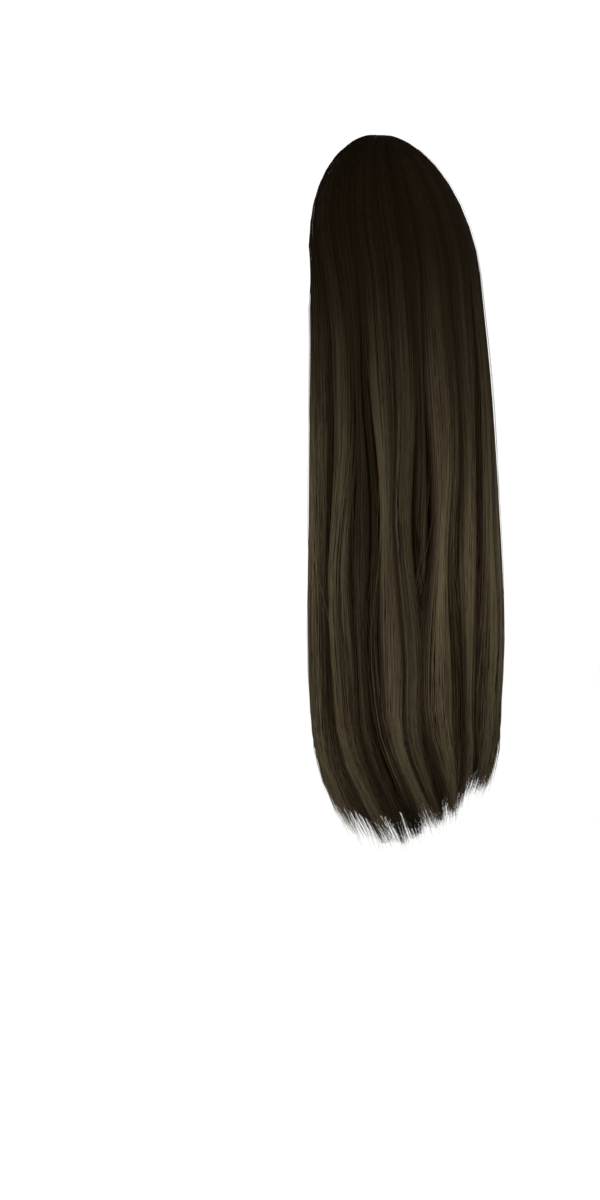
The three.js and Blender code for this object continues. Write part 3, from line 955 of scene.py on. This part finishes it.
class PONYTAIL_OT_outer_locks(bpy.types.Operator):
    """Make the outer layer of locks, with their fibres"""
    bl_idname = "ponytail.outer_locks"
    bl_label = "Outer Locks"

    def execute(self, context):
        hair = context.scene.ponytail_hair
        for index in range(len(OUTER_LOCKS)):
            rng = np.random.default_rng([hair.seed, index])
            name = f"outer_lock_{index + 1:02d}"
            make_lock(name, OuterLock(index), hair.outer_count, OUTER_LAYERS, rng, context.scene)
        return {"FINISHED"}


class PONYTAIL_OT_inner_locks(bpy.types.Operator):
    """Make the inner layer of locks, which faces the hollow"""
    bl_idname = "ponytail.inner_locks"
    bl_label = "Inner Locks"

    def execute(self, context):
        hair = context.scene.ponytail_hair
        for index in range(INNER["count"]):
            rng = np.random.default_rng([hair.seed, len(OUTER_LOCKS) + index])
            name = f"inner_lock_{index + 1:02d}"
            make_lock(name, InnerLock(index), hair.inner_count, INNER_LAYERS, rng, context.scene)
        return {"FINISHED"}


def tilted(points):
    """Points of the cap's own frame, in millimetres, in the hair's frame, in metres."""
    tilt = math.radians(CAP["tilt"])
    x, y, z = np.moveaxis(points, -1, 0)
    back = y * math.cos(tilt) - z * math.sin(tilt)
    up = y * math.sin(tilt) + z * math.cos(tilt)
    return np.stack([x, back, up], axis=-1) * MM


def on_cap(x, y, above):
    """Points over the cap, in the hair's frame, in metres, from their places in the cap's own frame."""
    bulge = np.sqrt(np.maximum(1 - (x / CAP["across"]) ** 2 - (y / CAP["deep"]) ** 2, 0))
    return tilted(np.stack([x, y, CAP["height"] * bulge + above], axis=-1))


def root_lines(share, turn):
    """Lines of the bound roots from the cap to the top: so far out from the middle, so far round."""
    x = ROOTS["across"] * share * np.cos(turn)
    y = ROOTS["across"] * FLATNESS * share * np.sin(turn)
    rows = [on_cap(x, y + ROOTS["on_cap"], ROOTS["gap"])]
    for step in ROOT_STEPS:
        z = np.full_like(x, step["z"])
        rows.append(np.stack([x * step["share"], y * step["share"] - section(z)[1], z], axis=-1) * MM)
    return np.concatenate(rows, axis=1)


class PONYTAIL_OT_root_tuft(bpy.types.Operator):
    """Make the bound roots between the cap and the top of the crown, and the whorl over them"""
    bl_idname = "ponytail.root_tuft"
    bl_label = "Root Tuft"

    def execute(self, context):
        scene = context.scene
        rng = np.random.default_rng([scene.ponytail_hair.seed, ROOTS["seed"]])
        tuft = grown_hair(line_mesh("root_tuft", self.roots(scene, rng), [self.core()]), scene)
        whorl = grown_hair(line_mesh("whorl", self.whorl(rng)), scene)
        add_piece("root_tuft_fibres", [tuft, whorl, self.binding(scene)], "hair", "root_tuft")
        return {"FINISHED"}

    def roots(self, scene, rng):
        """Fibres all round the bound roots."""
        count = scene.ponytail_hair.root_count
        turn = 2 * np.pi * scattered(count, rng)
        share = 1 - ROOTS["loose"] * rng.random((count, 1)) ** 2
        shade = np.clip(rng.normal(TONE["middle"], ROOT_TONE["fibre"], (count, 1)), 0, 1)
        return {"points": root_lines(share, turn), "shade": shade, "fade": ROOT_TONE["fade"]}

    def core(self):
        """The closed body under the roots' fibres."""
        turn = np.linspace(0, 2 * np.pi, ROOT_CORE["sides"], endpoint=False)[:, None]
        rings = root_lines(np.full_like(turn, ROOT_CORE["share"]), turn).transpose(1, 0, 2)
        # Painted shade: the core is darker than the fibres over it
        return {**loft(rings[::-1]), "shade": ROOT_TONE["core"], "fade": ROOT_TONE["fade"]}

    def whorl(self, rng):
        """Fibres that come up out of the roots and turn outwards over the top, all the way round."""
        each = (WHORL["count"], 1)
        angle = 360 * scattered(WHORL["count"], rng) - 180
        reach = rng.uniform(WHORL["shortest"], WHORL["longest"], each)
        along = np.linspace(0, 1, WHORL["points"])
        turns = reach * mix(WHORL["first"], 1, along)
        skin = SKIN["crown"] * np.sin(np.radians(turns))
        depth = mix(WHORL_DEPTH["sunk"], skin, smooth(turns, 0, WHORL_DEPTH["rise"]))
        depth = depth + WHORL_DEPTH["dive"] * smooth(along, WHORL_DEPTH["from"], 1)
        twist = rng.normal(0, WHORL["twist"], each) * (1 - along)
        return {
            "points": hair_point(angle + twist, crown_height(turns), depth),
            "shade": np.clip(rng.normal(TONE["middle"], WHORL_LOOK["tone"], each), 0, 1),
            "thin": mix(1.0, TAPER["tip"], smooth(along, WHORL_LOOK["taper"], 1)),
            "fade": 0.0,
        }

    def binding(self, scene):
        """The thread wound round the neck of the roots."""
        along = np.linspace(0, 1, BINDING["turns"] * BINDING["points"] + 1)
        turn = 2 * np.pi * BINDING["turns"] * along
        z = ROOTS["neck_z"] + (along - 0.5) * BINDING["turns"] * BINDING["thread"]
        reach = ROOTS["across"] * ROOTS["neck"] + BINDING["out"]
        y = reach * FLATNESS * np.sin(turn) - section(z)[1]
        path = np.stack([reach * np.cos(turn), y, z], axis=-1)[None] * MM
        return grown(line_mesh("binding", {"points": path}), threads(), Width=BINDING["thread"] * MM,
                     Sides=BINDING["sides"], Material=sewing_thread(scene))


class PONYTAIL_OT_net_cap(bpy.types.Operator):
    """Make the net cap with its threads, its rolled hem and the hem's stitches"""
    bl_idname = "ponytail.net_cap"
    bl_label = "Net Cap"

    def execute(self, context):
        cap = context.scene.ponytail_cap
        knit = net_material(cap)
        net = line_mesh("net", self.net_threads(cap.net_lines), [self.wall()])
        rim = self.rim(0, 0)[0]
        hem = line_mesh("hem", {"points": np.concatenate([rim, rim[:, :1]], axis=1)})
        meshes = [
            grown(net, threads(), Width=cap.net_thread, Sides=NET["sides"], Material=knit),
            grown(hem, threads(), Width=cap.hem_width, Sides=RIM["sides"], Material=knit),
            self.stitches(context.scene),
        ]
        add_piece("base_cap_net", meshes, "net", "base_cap")
        return {"FINISHED"}

    def dome(self, turn, rise, inset):
        """Points of the cap's wall, round it and from the mouth, at 0, to the top, at 1."""
        sweep = np.radians(90 * rise)
        across, deep, height = (CAP[side] - inset for side in ("across", "deep", "height"))
        x = across * np.cos(sweep) * np.cos(turn)
        y = deep * np.cos(sweep) * np.sin(turn)
        return tilted(np.stack(np.broadcast_arrays(x, y, height * np.sin(sweep)), axis=-1))

    def wall(self):
        """The thin knitted wall between the threads, open towards the scalp."""
        turn = np.linspace(0, 2 * np.pi, CAP_WALL["around"], endpoint=False)
        rise = np.linspace(CAP_WALL["top"], 0, CAP_WALL["rings"])[:, None]
        outer = self.dome(turn, rise, CAP_WALL["inset"])
        inner = self.dome(turn, rise[::-1], CAP["wall"] - CAP_WALL["inset"])
        return loft(np.concatenate([outer, inner]))

    def net_threads(self, count):
        """Threads that spiral both ways up the cap, outside and inside its wall."""
        rise = np.linspace(NET["first"], NET["last"], NET["points"])
        first = 2 * np.pi * np.arange(count)[:, None] / count
        paths = []
        for lean in (-NET["lean"], NET["lean"]):
            for inset in (NET["inset"], CAP["wall"] - NET["inset"]):
                paths.append(self.dome(first + lean * rise, rise, inset))
        return {"points": np.concatenate(paths)}

    def rim(self, up, out):
        """A line round the cap's mouth, so far up and out from its wall's middle, and the way it faces."""
        turn = np.linspace(0, 2 * np.pi, RIM["points"], endpoint=False)
        across, deep = (CAP[side] - CAP["wall"] / 2 for side in ("across", "deep"))
        line = np.stack([across * np.cos(turn), deep * np.sin(turn), np.full_like(turn, up)], axis=-1)
        slope = np.full_like(turn, RIM["slope"])
        way = np.stack([np.cos(turn) / across, np.sin(turn) / deep, slope], axis=-1)
        way /= np.linalg.norm(way, axis=-1)[:, None]
        return tilted(line + way * out)[None], tilted(way) / MM

    def stitches(self, scene):
        """The stitches that hold the rolled hem, in a row above it."""
        seam, facing = self.rim(SEAM["up"], CAP["wall"] / 2 + SEAM["out"])
        lines = line_mesh("stitches", {"points": seam})
        lines.attributes.new("facing", "FLOAT_VECTOR", "POINT").data.foreach_set("vector", facing.ravel())
        return grown(lines, stitch_tree(), Pitch=scene.ponytail_cap.stitch_pitch, Width=SEAM["width"] * MM,
                     Slant=math.radians(SEAM["slant"]), Material=sewing_thread(scene))


class PONYTAIL_OT_comb(bpy.types.Operator):
    """Make the comb in the cap's front edge"""
    bl_idname = "ponytail.comb"
    bl_label = "Comb"

    def execute(self, context):
        plastic = plastic_material(context.scene.ponytail_cap)
        lines = line_mesh("comb", self.teeth(), [self.spine()])
        mesh = grown(lines, threads(), Width=TEETH["width"] * MM, Sides=TEETH["sides"], Material=plastic)
        add_piece("comb_moulding", [mesh], "comb", "comb")
        return {"FINISHED"}

    def edge(self, x):
        """The line inside the cap's front edge that the comb's spine follows."""
        room = CAP["wall"] + COMB["gap"]
        return (CAP["deep"] - room) * np.sqrt(1 - (x / (CAP["across"] - room)) ** 2)

    def spine(self):
        """The comb's back: a flat bar with rounded edges and ends."""
        corner = COMB_SPINE["round"]
        side = np.linspace(1, -1, COMB_SPINE["rings"])[:, None]
        ends = np.sqrt(np.maximum(1 - np.abs(side) ** COMB_SPINE["corner"], COMB_SPINE["blunt"]))
        turn = np.linspace(0, 2 * np.pi, COMB_SPINE["around"], endpoint=False)
        out = np.sign(np.cos(turn)) * (COMB["spine"] / 2 - corner) + corner * np.cos(turn)
        up = np.sign(np.sin(turn)) * (COMB["thickness"] / 2 - corner) + corner * np.sin(turn)
        x = side * COMB["half"]
        y = self.edge(x) - COMB["spine"] / 2 + out * ends
        return loft(tilted(np.stack(np.broadcast_arrays(x, y, COMB_LEVEL + up * ends), axis=-1)))

    def teeth(self):
        """The teeth: round, straight and tapered, each from inside the spine to its blunt tip."""
        half = COMB["half"] - TEETH["width"] / 2
        x = np.linspace(-half, half, TEETH["count"])[:, None]
        tip = self.edge(COMB["half"]) - COMB["spine"] - TEETH["reach"]
        along, thin = (np.array([row[column] for row in TOOTH_TAPER]) for column in ("along", "thin"))
        y = mix(self.edge(x) - COMB["spine"] * TEETH["root"], tip, along)
        return {"points": tilted(np.stack(np.broadcast_arrays(x, y, COMB_LEVEL), axis=-1)), "thin": thin}


class PONYTAIL_OT_stage(bpy.types.Operator):
    """Make the floor, the light and the camera"""
    bl_idname = "ponytail.stage"
    bl_label = "Stage"

    def execute(self, context):
        settings = context.scene.ponytail_stage
        self.floor(context.scene, settings)
        self.sky(context.scene, settings)
        self.lights(context.scene, settings)
        self.camera(context.scene)
        context.scene.view_settings.view_transform = "Standard"
        return {"FINISHED"}

    def floor(self, scene, settings):
        """A wide floor well below the tips."""
        half = settings.floor_size / 2
        level = CAD_BOX[0][2] - FLOOR_DROP
        mesh = bpy.data.meshes.new("floor")
        corners = [(-half, -half), (half, -half), (half, half), (-half, half)]
        mesh.from_pydata([(x, y, level) for x, y in corners], [], [(0, 1, 2, 3)])
        mesh.materials.append(floor_material(settings))
        floor = bpy.data.objects.new("floor", mesh)
        scene.collection.objects.link(floor)

    def sky(self, scene, settings):
        """Even white light from all round."""
        world = bpy.data.worlds.new("even_white")
        world.use_nodes = True
        background = world.node_tree.nodes["Background"]
        wire(world.node_tree, background, {"Color": (1, 1, 1, 1), "Strength": settings.sky})
        scene.world = world

    def lights(self, scene, settings):
        """Soft square lights round the hair, which all face its middle."""
        for row in LIGHTS:
            lamp = bpy.data.lights.new(row["name"], "AREA")
            lamp.energy = getattr(settings, row["power"])
            lamp.size = row["size"]
            turn = math.radians(row["azimuth"])
            spot = Vector((math.sin(turn) * LIGHT_REACH, -math.cos(turn) * LIGHT_REACH, row["height"]))
            light = bpy.data.objects.new(row["name"], lamp)
            light.location = spot
            light.rotation_euler = (Vector(LIGHT_TARGET) - spot).to_track_quat("-Z", "Y").to_euler()
            scene.collection.objects.link(light)

    def camera(self, scene):
        """A level camera a long way off, with its frame's height set at the hair."""
        turn = math.radians(VIEW["azimuth"])
        right = Vector((math.cos(turn), math.sin(turn), 0))
        towards = Vector((math.sin(turn), -math.cos(turn), 0))
        target = right * VIEW["right"] + Vector((0, 0, VIEW["height"]))
        lens = bpy.data.cameras.new("camera")
        lens.sensor_fit = "VERTICAL"
        lens.sensor_height = SENSOR / MM
        lens.lens = SENSOR * VIEW["distance"] / VIEW["frame_height"] / MM
        lens.clip_end = VIEW["far"]
        camera = bpy.data.objects.new("camera", lens)
        camera.location = target + towards * VIEW["distance"]
        camera.rotation_euler = (target - camera.location).to_track_quat("-Z", "Y").to_euler()
        scene.collection.objects.link(camera)
        scene.camera = camera


class PONYTAIL_PT_panel(bpy.types.Panel):
    """Lists the hairpiece's operators and settings"""
    bl_label = "Ponytail Hairpiece"
    bl_space_type = "VIEW_3D"
    bl_region_type = "UI"
    bl_category = "Ponytail"

    def draw(self, context):
        for operator in OPERATORS:
            self.layout.operator(operator.bl_idname)
        for group in SETTINGS:
            box = self.layout.box()
            settings = getattr(context.scene, group)
            for title in settings.bl_rna.properties.keys():
                if title not in ("rna_type", "name"):
                    box.prop(settings, title)


SETTINGS = {"ponytail_hair": PonytailHair, "ponytail_cap": PonytailCap, "ponytail_stage": PonytailStage}
OPERATORS = (
    PONYTAIL_OT_stage,
    PONYTAIL_OT_outer_locks,
    PONYTAIL_OT_inner_locks,
    PONYTAIL_OT_root_tuft,
    PONYTAIL_OT_net_cap,
    PONYTAIL_OT_comb,
)


def register():
    for kind in (*SETTINGS.values(), *OPERATORS, PONYTAIL_PT_panel):
        bpy.utils.register_class(kind)
    for name, kind in SETTINGS.items():
        setattr(bpy.types.Scene, name, bpy.props.PointerProperty(type=kind))


def unregister():
    for name in SETTINGS:
        delattr(bpy.types.Scene, name)
    for kind in (PONYTAIL_PT_panel, *reversed(OPERATORS), *reversed(SETTINGS.values())):
        bpy.utils.unregister_class(kind)


def main():
    register()
    for operator in OPERATORS:
        group, name = operator.bl_idname.split(".")
        getattr(getattr(bpy.ops, group), name)()


if __name__ == "__main__":
    main()
